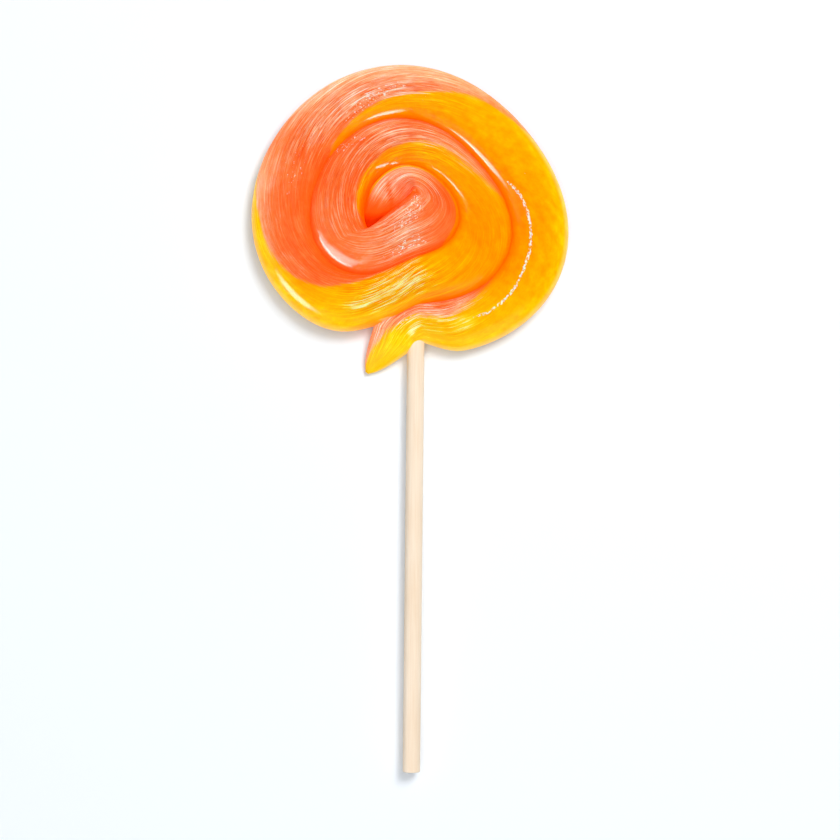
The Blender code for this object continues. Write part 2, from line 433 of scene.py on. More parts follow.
@dataclass
class Candy:
    """The coiled rope, built as a few closed lofts that are joined into one skin."""

    coil: Coil = field(default_factory=Coil)
    twist: Twist = field(default_factory=Twist)
    fibres: Fibres = field(default_factory=Fibres)
    tail_wind: float = -84.0
    tail_bend_radius: float = 0.0103
    tail_bend: float = 47.0
    tail_straight: float = 0.0118
    tail_taper: float = 0.6
    tail_tip: float = 0.0005
    tail_wind_rate: float = 2000.0
    tip_thinning: float = 1.5
    lap_wind: float = 261.0
    lap_span: float = 12.0
    lap_under: float = 0.0034
    lap_over: float = 0.0011
    tip_crest: float = 0.0018
    tail_crest: float = 0.0078
    crests: tuple[Triple, ...] = (
        (0.0095, -84.0, -40.0), (0.0104, 480.0, 620.0), (0.0030, 795.0, 890.0),
    )
    middle_share: float = 0.42
    sink: float = 0.0006
    sink_rise: Pair = (236.0, 262.0)
    hairpin_ease: float = 32.0
    hairpin_gap: float = 0.0001
    press: float = 0.0004
    relief_rise: Pair = (0.5 * MM, 2.5 * MM)
    lift_reach: Pair = (0.25, 1.0)
    rim_reach: Pair = (0.8, 1.0)
    rim_fade: float = 14.0
    crease_reach: Pair = (0.45, 1.0)
    crease_fade: float = 10.0
    pocket_rise: Pair = (850.0, 910.0)
    flank_reach: Pair = (0.35, 1.0)
    glow_shares: Pair = (0.5, 0.9)
    top_fullness: float = 2.3
    back_fullness: float = 4.0
    eye_fullness: float = 6.0
    eye_radius: float = 0.0008
    eye_sides: int = 24
    eye_top: float = 0.0092
    dimple: float = 0.90
    shallow_share: float = 0.5
    girth: float = 0.040
    spacing: float = 0.001
    shortest_radius: float = 0.009
    top_columns: int = 176
    back_columns: int = 20
    cut_winds: Row = (150.0, 400.0, 567.0, 765.0)
    silk: Zones = (
        (-124, 0.3, 0.4, 0.6), (-98, 0.4, 0.6, 1), (-84, 0.4, 0.9, 1.1), (-60, 0.2, 0.4, 0.9),
        (-44, 0.05, 0.1, 0.2), (-20, 0, 0.05, 0.1), (40, 0, 0.05, 0.05), (65, 0.35, 0.4, 0.05),
        (85, 0.6, 0.9, 0.1), (105, 0.7, 1, 0.1), (125, 0.7, 1, 0.5), (145, 0.6, 0.9, 0.7),
        (162, 0.45, 0.5, 0.4), (190, 0.4, 0.5, 0.45), (208, 0.1, 0.5, 0.55), (228, 0, 0.45, 0.6),
        (240, 0.1, 0.9, 1), (255, 0.4, 1.5, 1.4), (275, 0.7, 1.7, 1.4), (292, 0.5, 0.7, 0.4),
        (310, 0.4, 0.4, 0.2), (350, 0.35, 0.3, 0.1), (375, 0.5, 0.3, 0.05), (395, 0.7, 0.4, 0.05),
        (415, 0.8, 0.7, 0.15), (435, 0.9, 1, 0.4), (455, 1, 1, 0.7), (500, 0.7, 0.8, 1),
        (530, 0.6, 0.7, 0.9), (552, 0.3, 0.6, 0.8), (566, 0, 0.4, 0.7), (592, 0, 0.5, 0.9),
        (606, 0.5, 1, 1), (640, 0.8, 1, 1), (665, 0.4, 0.6, 0.8), (690, 0.3, 0.5, 0.7),
        (715, 0.4, 0.7, 0.6), (740, 0.6, 0.9, 0.5), (800, 0.8, 0.9, 0.5), (850, 0.8, 1, 0.6),
        (900, 0.3, 0.3, 0.3),
    )
    # How lit or shaded each part looks, painted into the colour together with the sugar's own paler
    # and deeper tone: the highest values reach a painted sheen, and below 0 is the pocket's painted
    # shade.
    light: Zones = (
        (-124, 0.9, 0.85, 0.8), (-100, 0.9, 0.85, 0.9), (-84, 0.9, 0.85, 0.7),
        (-66, 0.85, 0.75, 0.8), (-56, 0.75, 0.68, 0.6), (-45, 0.65, 0.6, 0.3),
        (-30, 0.55, 0.5, 0.15), (-10, 0.55, 0.4, 0.05), (10, 0.5, 0.4, 0), (30, 0.4, 0.5, 0.1),
        (45, 0.42, 0.55, 0.2), (65, 0.65, 0.55, 0.25), (84, 0.95, 0.75, 0.2), (100, 1, 0.9, 0.2),
        (120, 1, 0.9, 0.3), (135, 0.75, 0.65, 0.3), (150, 0.55, 0.45, 0.15), (175, 0.9, 0.4, 0.1),
        (200, 0.85, 0.32, 0.12), (215, 0.9, 0.3, 0.02), (233, 0.8, 0.75, 0.15), (248, 0.8, 1, 0.6),
        (262, 0.75, 1.2, 1.05), (275, 0.6, 0.95, 1), (290, 0.35, 0.6, 0.6), (315, 0.3, 0.4, 0.4),
        (345, 0.2, 0.25, 0.2), (375, 0.5, 0.3, 0.2), (392, 0.6, 0.35, 0.25), (415, 0.7, 0.5, 0.3),
        (440, 0.8, 0.7, 0.2), (461, 0.8, 0.7, 0.15), (490, 0.5, 0.5, 0.35), (523, 0.32, 0.35, 0.35),
        (550, 0.4, 0.45, 0.45), (582, 0.5, 0.5, 0.6), (605, 0.5, 0.7, 0.85), (633, 0.5, 0.9, 0.95),
        (660, 0.35, 0.65, 0.85), (690, 0.15, 0.4, 0.6), (735, 0.1, 0.3, 0.6), (770, 0.4, 0.6, 0.6),
        (808, 0.9, 0.85, 0.4), (840, 1, 1, 0.5), (868, 1.05, 1.0, 0.4), (880, 0.7, 0.6, 0.1),
        (891, 0.3, 0.2, -0.15), (902, -0.1, -0.15, -0.35), (912, -0.4, -0.4, -0.5),
        (922, -0.6, -0.6, -0.6),
    )
    shoulder: float = 0.8
    core_glow: Pair = (735.0, 790.0)
    tail_glow: Pair = (86.0, 106.0)
    wet: tuple[Patch, ...] = (
        Patch(219, -0.64, 14, 0.10, 0.0, 0.95), Patch(573, -0.70, 24, 0.26, 0.003, 0.8),
        Patch(47, 0.77, 38, 0.08, 0.003, 1.5), Patch(111, 0.79, 22, 0.08, 0.006, 1.5),
        Patch(478, 0.74, 30, 0.05, -0.006, 1.5), Patch(402, 0.64, 38, 0.06, 0.002, 1.5),
    )
    # Zones of painted glints: pale specks along the fibres, which also get a bump and more coat.
    sparkle: tuple[Patch, ...] = (
        Patch(108, 0.12, 28, 0.40, 0.02), Patch(490, -0.68, 26, 0.32, -0.010, 0.9),
        Patch(655, 0.48, 60, 0.42, 0.007, 1.4), Patch(633, -0.50, 40, 0.36, 0.0, 1.1),
        Patch(160, 0.1, 32, 0.7, 0.0, 0.72), Patch(80, 0.17, 9, 0.22, 0.0, 0.75),
        Patch(18, -0.15, 8, 0.2, 0.0, 0.7), Patch(276, 0.1, 26, 0.6, 0.0, 0.7),
        Patch(-93, 0.25, 12, 0.5, 0.0, 0.8),
    )
    # Painted spots of light and shade added to the light values: a darker band on the lobe, paler
    # spots on the tail and the lower bend, and a painted glint on the bend's edge.
    painted_light_spots: tuple[Patch, ...] = (
        Patch(864, 0.02, 26, 0.17, 0.027, -0.6), Patch(-67, -0.05, 8, 0.4, 0.0, 0.35),
        Patch(-90, -0.3, 7, 0.3, 0.03, 0.45), Patch(260, -0.88, 6, 0.09, -0.01, 0.9),
        Patch(250, -0.05, 20, 0.30, 0.01, 0.25),
    )
    mingled: Knots = (
        (-124, 0.5), (-80, 0.45), (-60, 0.35), (-40, 0.5), (-10, 1), (350, 1), (380, 0.35),
        (425, 0.4), (455, 1), (922, 1),
    )
    # The eye post's strand, its painted light and shade, and its painted glow.
    eye_dress: tuple[tuple[str, float], ...] = (("strand", 2.0), ("light", 0.4), ("flank", 0.3))
    seam_path: Knots = (
        (-66, 0.1), (-56, 0.0), (-43, 0.08), (-30, 0.22), (-15, 0.28), (-5, 0.32), (7, 0.39),
        (16, 0.55), (30, 0.72), (44, 0.80),
    )
    seam_ends: Quad = (-66.0, -56.0, 12.0, 22.0)
    seam_width: float = 0.062
    seam_height: float = 0.00018

    def coil_sections(self, wind: Array) -> Sections:
        """The coiled rope's sections, their edges sunk a little into their neighbours.

        Args:
            wind: Winding angles.

        Returns:
            The sections.
        """
        outer, inner = self.coil.outer_edge(wind), self.coil.inner_edge(wind)
        across = unit(inner - outer)
        start, end = self.coil.hairpin
        hairpin = plateau(wind, start - self.hairpin_ease, start, end, end + self.hairpin_ease)
        under = self.lap_under * bump(wind, self.lap_wind, self.lap_span)
        over = self.lap_over * bump(wind + 360, self.lap_wind, self.lap_span * 2)
        outer_sink = self.sink * ease(wind, *self.sink_rise) + under
        inner_sink = blend(self.sink, -self.hairpin_gap, hairpin) + over
        crest = self.tail_crest
        for height, begin, full in self.crests:
            crest = blend(crest, height, ease(wind, begin, full))
        return Sections(
            outer=outer - across * outer_sink[:, None],
            inner=inner + across * inner_sink[:, None],
            crest=crest,
            fullness=blend(self.top_fullness, self.eye_fullness, hairpin),
            wind=wind,
        )

    def tail_sections(self) -> Sections:
        """The tail's sections from its tip to the coil, along a straight and then an arc.

        Returns:
            The sections.
        """
        root = self.coil_sections(np.array([self.tail_wind]))
        across = unit(root.inner - root.outer)[0]
        half = np.linalg.norm(root.inner - root.outer) / 2
        centre = ((root.inner + root.outer) / 2)[0] - across * self.tail_bend_radius
        bend = math.radians(self.tail_bend)
        length = bend * self.tail_bend_radius + self.tail_straight
        steps = math.ceil(2 * length / self.spacing)
        distance = length * np.arange(steps, 0, -1) / steps
        turned = np.minimum(distance / self.tail_bend_radius, bend)
        beyond = distance - turned * self.tail_bend_radius
        cos, sin = np.cos(turned), np.sin(turned)
        turned_x, turned_y = across[0] * cos - across[1] * sin, across[0] * sin + across[1] * cos
        side = np.stack([turned_x, turned_y], axis=-1)
        onward = np.stack([-side[:, 1], side[:, 0]], axis=-1)
        middle = centre + side * self.tail_bend_radius + onward * beyond[:, None]
        drawn = beyond / self.tail_straight
        width = np.maximum(half * np.maximum(1 - drawn, 0.0) ** self.tail_taper, self.tail_tip)
        return Sections(
            outer=middle - side * width[:, None],
            inner=middle + side * width[:, None],
            crest=blend(self.tail_crest, self.tip_crest, drawn**self.tip_thinning),
            fullness=np.full(steps, self.top_fullness),
            wind=self.tail_wind - distance * self.tail_wind_rate,
        )

    def sections(self) -> Sections:
        """All the rope's sections, from the tail's tip to the end of the core.

        Returns:
            The sections.
        """
        winds = [self.tail_wind]
        while winds[-1] < self.coil.end_wind:
            here = np.array(winds[-1:])
            both = self.coil.outer_edge(here) + self.coil.inner_edge(here)
            radius = max(float(np.linalg.norm(both)) / 2, self.shortest_radius)
            winds.append(winds[-1] + math.degrees(self.spacing / radius))
        winds[-1] = self.coil.end_wind
        tail, coil = self.tail_sections(), self.coil_sections(np.array(winds))
        return Sections(*map(np.concatenate, zip(astuple(tail), astuple(coil))))

    def column_angles(self) -> Array:
        """Angles round the section from 0 up, close together where the skin shows."""
        ends, counts = ((0, 180), (180, 360)), (self.top_columns, self.back_columns)
        return np.concatenate([np.linspace(*end, count, False) for end, count in zip(ends, counts)])

    def skin(self, grid: Grid, relief: Array) -> Array:
        """Points on the rope's skin, its ridges standing out along the normal.

        Args:
            grid: The points of the skin.
            relief: How far the skin stands out, by section and column.

        Returns:
            Points, by section and column.
        """
        sections, across = grid.sections, grid.across
        upper = (np.sin(np.radians(grid.angle)) > TINY)[None, :]
        crest = sections.crest[:, None]
        middle = crest * self.middle_share
        top = np.where(across > 0, sections.fullness[:, None], self.top_fullness)
        fullness = np.where(upper, top, self.back_fullness)
        reach = np.where(upper, crest - middle, -middle - self.press)
        height = middle + reach * (1 - np.abs(across) ** fullness) ** (1 / fullness)
        lift = self.lifted(grid) * ease(across, *self.lift_reach) * upper
        height = blend(height, self.dimple * crest, lift)
        share = ((1 + across) / 2)[..., None]
        plan = blend(sections.outer[:, None, :], sections.inner[:, None, :], share)
        points = np.concatenate([plan, height[..., None]], axis=-1)
        forward = np.gradient(points, axis=0)
        round_it = np.roll(points, -1, axis=1) - np.roll(points, 1, axis=1)
        shown = ease(points[..., 2], *self.relief_rise) * (1 - lift)
        points += unit(np.cross(forward, round_it)) * (relief * shown)[..., None]
        points[..., 2] = np.maximum(points[..., 2], 0.0)
        return points

    def zones(self, table: Zones, grid: Grid) -> Array:
        """Reads a table with a curve each for the outer shoulder, the crest and the inner shoulder.

        Args:
            table: Rows of a winding angle and the three values there.
            grid: The points of the skin.

        Returns:
            Values by section and column.
        """
        curves = [[(row[0], row[column]) for row in table] for column in (1, 2, 3)]
        outer, crest, inner = (through(curve, grid.wind) for curve in curves)
        near = blend(outer, crest, ease(grid.across, -self.shoulder, 0.0))
        return blend(near, inner, ease(grid.across, 0.0, self.shoulder))

    def seam(self, grid: Grid) -> Array:
        """The thin raised seam along the first turn's right side: 1 on it and 0 elsewhere."""
        line = bump(grid.across, through(self.seam_path, grid.wind), self.seam_width)
        return line * plateau(grid.wind, *self.seam_ends) * grid.upper

    def rim(self, grid: Grid) -> Array:
        """How close the skin is to the head's outline, for painted light coming through the thin
        edge.

        Args:
            grid: The points of the skin.

        Returns:
            Values by section and column, from 0 inside to 1 on the outline.
        """
        outer, inner = grid.beside(*self.rim_reach)
        free_outer = 1 - ease(grid.wind, *self.sink_rise)
        free_inner = 1 - ease(grid.wind, self.tail_wind - self.rim_fade, self.tail_wind)
        return np.maximum(outer * free_outer, inner * free_inner)

    def lifted(self, grid: Grid) -> Array:
        """How far the inner edge is lifted, so that the crease starts shallow, as a column."""
        lift = 1 - ease(self.coil.crease_share(grid.wind), 0.0, self.shallow_share)
        return np.where(grid.wind > self.coil.crease_wind, lift, 0.0)

    def flank(self, grid: Grid) -> Array:
        """Where the finish paints a glow for light that has gone through the sugar: the steep skin
        and the ends.

        Args:
            grid: The points of the skin.

        Returns:
            Values from 0 to 1, by section and column.
        """
        core, tail = self.glow_shares
        ends = core * ease(grid.wind, *self.core_glow) + tail * ease(-grid.wind, *self.tail_glow)
        return np.maximum(ease(np.abs(grid.across), *self.flank_reach), ends) * grid.upper

    def crease_depth(self, grid: Grid) -> Array:
        """How far down in a crease or the core's pocket the skin lies, for painted shade there.

        Args:
            grid: The points of the skin.

        Returns:
            Values by section and column, from 0 on the crest to 1 in the crease.
        """
        outer, inner = grid.beside(*self.crease_reach)
        outer = outer * ease(grid.wind, *self.sink_rise)
        inner = inner * ease(grid.wind, self.tail_wind - self.crease_fade, self.tail_wind)
        return np.clip(np.maximum(outer, inner) + ease(grid.wind, *self.pocket_rise), 0.0, 1.0)

    def piece(self, points: Array, corners: dict[str, Array]) -> bpy.types.Object:
        """A closed loft through a run of sections.

        Args:
            points: Points by section and column.
            corners: Values to store at the corners of the faces, by attribute name.

        Returns:
            The object, in no collection yet.
        """
        mesh, order = loft("rope", points)
        for key, values in corners.items():
            flat = values.reshape(points[..., 0].size, -1)[order]
            wide = flat.shape[1] > 1
            layer = mesh.attributes.new(key, "FLOAT_VECTOR" if wide else "FLOAT", "CORNER")
            layer.data.foreach_set("vector" if wide else "value", flat.reshape(-1))
        return bpy.data.objects.new("rope", mesh)

    def build(self) -> bpy.types.Object:
        """Builds the whole skin.

        Returns:
            The candy, linked to the scene.
        """
        sections = self.sections()
        grid = Grid(sections, self.column_angles())
        strand_angle, fibre_angle = self.twist.strand_angle(grid), self.twist.fibre_angle(grid)
        along = np.broadcast_to(sections.along[:, None], strand_angle.shape)
        relief = self.fibres.relief(along, np.mod(fibre_angle / (2 * np.pi), 1.0), self.girth)
        silk, light = self.zones(self.silk, grid), self.zones(self.light, grid)
        seam = self.seam(grid)
        beads = self.fibres.beads(sections.along)[:, None]
        points = self.skin(grid, relief * silk + self.seam_height * seam * beads)
        radius = self.girth / (2 * np.pi) / MM
        fibre = [along / MM, radius * np.cos(fibre_angle), radius * np.sin(fibre_angle)]
        corners = {
            "fibre": np.stack(fibre, axis=-1),
            "strand": radius * np.sin(strand_angle) * through(self.mingled, grid.wind),
            "silk": silk,
            "thread": relief / sum(self.fibres.heights),
            # Painted light and shade, with the painted spots added.
            "light": light + grid.patched(self.painted_light_spots),
            "seam": seam,
            "wet": grid.patched(self.wet),
            "sparkle": grid.patched(self.sparkle),
            "crease": self.crease_depth(grid),
            "rim": self.rim(grid),
            "flank": self.flank(grid),
        }
        cuts = np.searchsorted(sections.wind, self.cut_winds, side="right")
        pieces = [
            self.piece(points[start:stop], {key: row[start:stop] for key, row in corners.items()})
            for start, stop in zip([0, *(cuts - 2)], [*cuts, len(points)])
        ]
        candy = pieces[0]
        candy.name = "swirl"
        bpy.context.scene.collection.objects.link(candy)
        join(candy, [*pieces[1:], self.eye()])
        candy.data.shade_smooth()
        return candy

    def eye(self) -> bpy.types.Object:
        """The short post that closes the hairpin's eye.

        Returns:
            The object, in no collection yet.
        """
        shape = bmesh.new()
        bmesh.ops.create_cone(
            shape, cap_ends=True, segments=self.eye_sides,
            radius1=self.eye_radius, radius2=self.eye_radius, depth=self.eye_top,
            matrix=Matrix.Translation((*self.coil.pivot, self.eye_top / 2)),
        )
        mesh = bpy.data.meshes.new("eye")
        shape.to_mesh(mesh)
        shape.free()
        for key, value in self.eye_dress:
            layer = mesh.attributes.new(key, "FLOAT", "CORNER")
            layer.data.foreach_set("value", [value] * len(mesh.loops))
        return bpy.data.objects.new("eye", mesh)


@dataclass
class Stick:
    """A round birch stick with fine grain and a sawn end."""

    diameter: float = 0.0045
    length: float = 0.150
    end: Triple = (0.0006, -0.1445, 0.0038)
    lean: float = 0.59
    edge: float = 0.0003
    sides: int = 96
    rings: int = 240
    grain_depth: float = 0.00003
    saw_depth: float = 0.00008
    edge_rings: int = 4
    grain_knots: int = 9
    grain_power: int = 3
    sawn_rings: Row = (0.8, 0.6, 0.4, 0.2, 0.03)
    seed: int = 11

    def build(self) -> bpy.types.Object:
        """Builds the stick.

        Returns:
            The stick, linked to the scene.
        """
        radius, length = self.diameter / 2, self.length
        random = np.random.default_rng(self.seed)
        turn = np.arange(self.sides) * 2 * np.pi / self.sides
        eased = np.linspace(0, np.pi / 2, self.edge_rings + 1)[:-1]
        near = self.edge * (1 - np.cos(eased))
        inset = self.edge * (1 - np.sin(eased))
        straight = np.linspace(self.edge, length - self.edge, self.rings)
        place = np.r_[near, straight, length - near[::-1]]
        shrink = np.r_[inset, np.zeros(self.rings), inset[::-1]]
        knots = np.linspace(0, length, self.grain_knots)
        grooves = random.uniform(0, 1, (self.grain_knots, self.sides)) ** self.grain_power
        grain = np.stack([np.interp(place, knots, groove_shade) for groove_shade in grooves.T], axis=1)
        reach = radius - shrink[:, None] - self.grain_depth * grain
        along = np.broadcast_to(place[:, None], reach.shape)
        body = np.stack([reach * np.cos(turn), along, reach * np.sin(turn)], axis=-1)
        free, sunk = self.sawn_end(body[0], 1.0, random), self.sawn_end(body[-1], -1.0, random)
        mesh, _ = loft("dowel", np.concatenate([free[::-1], body, sunk]))
        lean = Matrix.Rotation(-math.radians(self.lean), 4, "Z")
        mesh.transform(Matrix.Translation(self.end) @ lean)
        mesh.shade_smooth()
        dowel = bpy.data.objects.new("dowel", mesh)
        bpy.context.scene.collection.objects.link(dowel)
        return dowel

    def sawn_end(self, ring: Array, inwards: float, random: np.random.Generator) -> Array:
        """Rings that close an end, a little rough.

        Args:
            ring: The rim's points.
            inwards: 1 at the free end and -1 at the other.
            random: Source of the roughness.

        Returns:
            Rings from the rim to the middle.
        """
        middle = ring.mean(axis=0)
        rings = middle + (ring - middle) * np.array(self.sawn_rings)[:, None, None]
        rings[..., 1] += inwards * self.saw_depth * random.uniform(0, 1, rings.shape[:2])
        return rings


def join(target: bpy.types.Object, others: Sequence[bpy.types.Object], passes: int = 3) -> None:
    """Joins closed meshes into one skin and removes the others.

    The union can leave a point in the middle of an edge, where only two faces meet. Cut into
    triangles, both faces would get the same stray triangle there, so these points are dissolved.

    Args:
        target: Object that gets the result.
        others: Objects to join to it.
        passes: How often to look for such points.
    """
    group = bpy.data.collections.new("joining")
    bpy.context.scene.collection.children.link(group)
    for other in others:
        group.objects.link(other)
    modifier = target.modifiers.new("Union", "BOOLEAN")
    modifier.operation = "UNION"
    modifier.operand_type = "COLLECTION"
    modifier.collection = group
    modifier.solver = "MANIFOLD"
    graph = bpy.context.evaluated_depsgraph_get()
    target.data = bpy.data.meshes.new_from_object(target.evaluated_get(graph))
    target.modifiers.clear()
    target.data.materials.clear()
    skin = bmesh.new()
    skin.from_mesh(target.data)
    for _ in range(passes):
        spare = [point for point in skin.verts if len(point.link_edges) == 2]
        bmesh.ops.dissolve_verts(skin, verts=spare)
    many_sided = [face for face in skin.faces if len(face.verts) > 4]
    bmesh.ops.triangulate(skin, faces=many_sided, quad_method="BEAUTY", ngon_method="EAR_CLIP")
    skin.to_mesh(target.data)
    skin.free()
    for other in others:
        bpy.data.objects.remove(other)
    bpy.data.collections.remove(group)


Operand = Union["Socket", float, Sequence[float]]
Settings = dict[str, Any]
Inputs = dict[Any, Operand]


def operator(operation: str, reflected: bool = False) -> Callable[["Socket", Operand], "Socket"]:
    """Makes a method of Socket that adds the node for an operation.

    Args:
        operation: The operation of a Math or, for a vector or colour, a Vector Math node.
        reflected: Whether the other operand comes first.

    Returns:
        The method.
    """

    def combined(self: "Socket", other: Operand) -> "Socket":
        """Combines this with the other operand.

        Args:
            other: A socket, a number or a vector.

        Returns:
            The result.
        """
        pair = (other, self) if reflected else (self, other)
        wide = any(
            value.output.type in ("VECTOR", "RGBA") if isinstance(value, Socket)
            else isinstance(value, (tuple, list))
            for value in pair
        )
        if wide:
            pair = [(value,) * 3 if isinstance(value, (int, float)) else value for value in pair]
        kind = "ShaderNodeVectorMath" if wide else "ShaderNodeMath"
        return self.graph.output(kind, {"operation": operation}, dict(enumerate(pair)))

    return combined


@dataclass(frozen=True)
class Socket:
    """A node's output that can be used in arithmetic, which adds the nodes for it."""

    graph: "Graph"
    output: bpy.types.NodeSocket

    __add__, __radd__ = operator("ADD"), operator("ADD", True)
    __sub__, __rsub__ = operator("SUBTRACT"), operator("SUBTRACT", True)
    __mul__, __rmul__ = operator("MULTIPLY"), operator("MULTIPLY", True)
    __truediv__, __rtruediv__ = operator("DIVIDE"), operator("DIVIDE", True)
    __pow__, __rpow__ = operator("POWER"), operator("POWER", True)

    def __abs__(self) -> "Socket":
        """The size of this without its sign."""
        return self.graph.output("ShaderNodeMath", {"operation": "ABSOLUTE"}, {0: self})


class Graph:
    """A material's nodes."""

    def __init__(self, name: str) -> None:
        """Makes an empty material.

        Args:
            name: The material's name.
        """
        self.material = bpy.data.materials.new(name)
        self.material.use_nodes = True
        self.tree = self.material.node_tree
        self.tree.nodes.clear()

    def node(self, kind: str, settings: Settings, inputs: Inputs) -> bpy.types.Node:
        """Adds a node.

        Args:
            kind: The node's type.
            settings: The node's own properties, and a ramp's stops as places with their colours.
            inputs: Values or links for its inputs, by name or index.

        Returns:
            The node.
        """
        node = self.tree.nodes.new(kind)
        for key, value in settings.items():
            if key != "stops":
                setattr(node, key, value)
                continue
            row = node.color_ramp.elements
            for _ in value[len(row):]:
                row.new(1.0)
            for element, (place, colour) in zip(row, value):
                element.position, element.color = place, colour
        for key, value in inputs.items():
            if isinstance(value, Socket):
                self.tree.links.new(value.output, node.inputs[key])
            else:
                node.inputs[key].default_value = value
        return node

    def output(self, kind: str, settings: Settings, inputs: Inputs, out: Any = 0) -> Socket:
        """Adds a node as above and takes one of its outputs, by name or index."""
        return Socket(self, self.node(kind, settings, inputs).outputs[out])

    def attribute(self, name: str, out: str = "Fac") -> Socket:
        """Reads a number stored on the mesh, or a vector where out is Vector."""
        return self.output("ShaderNodeAttribute", {"attribute_name": name}, {}, out)

    def ramp(
        self, value: Socket, low: float, high: float, start: float = 0.0, end: float = 1.0
    ) -> Socket:
        """Maps low to start and high to end, smoothly between them and level beyond."""
        inputs = {"Value": value, "From Min": low, "From Max": high, "To Min": start, "To Max": end}
        return self.output("ShaderNodeMapRange", {"interpolation_type": "SMOOTHSTEP"}, inputs)

    def stops(self, value: Socket, places: Sequence[float], colours: Sequence[tuple]) -> Socket:
        """Runs through colours that stand at places from 0 to 1."""
        return self.output("ShaderNodeValToRGB", {"stops": list(zip(places, colours))}, {0: value})

    def mix(self, factor: Operand, first: Operand, second: Operand) -> Socket:
        """Mixes two colours, with factor as the share of the second."""
        inputs = {0: factor, 6: first, 7: second}
        return self.output("ShaderNodeMix", {"data_type": "RGBA"}, inputs, 2)

    def bump(self, height: Socket, distance: float, strength: float) -> Socket:
        """Turns a height into a normal, with distance as the real height for 1."""
        inputs = {"Height": height, "Distance": distance, "Strength": strength}
        return self.output("ShaderNodeBump", {}, inputs)

    def principled(self, inputs: Inputs) -> bpy.types.Material:
        """Ends the graph in a Principled shader with these inputs and gives its material.

        Args:
            inputs: The shader's values or links.

        Returns:
            The finished material.
        """
        shader = self.output("ShaderNodeBsdfPrincipled", {}, inputs, "BSDF")
        self.node("ShaderNodeOutputMaterial", {}, {"Surface": shader})
        return self.material


def rgba(red: float, green: float, blue: float) -> Quad:
    """An opaque colour from linear red, green and blue."""
    return (red, green, blue, 1.0)


@dataclass(frozen=True)
class Grain:
    """Noise drawn out along the fibres.

    Attributes:
        stretch: Share of the distance that counts along each axis: a small one draws it out.
        scale: How fine it is.
        detail: How many finer layers it has.
        roughness: How strong these are.
    """

    stretch: Triple
    scale: float
    detail: float
    roughness: float

    def over(self, place: Socket) -> Socket:
        """Reads the noise.

        Args:
            place: Where to read it.

        Returns:
            The noise, from 0 to 1.
        """
        inputs = {"Scale": self.scale, "Detail": self.detail, "Roughness": self.roughness}
        inputs["Vector"] = place * self.stretch
        return place.graph.output("ShaderNodeTexNoise", {}, inputs, "Fac")


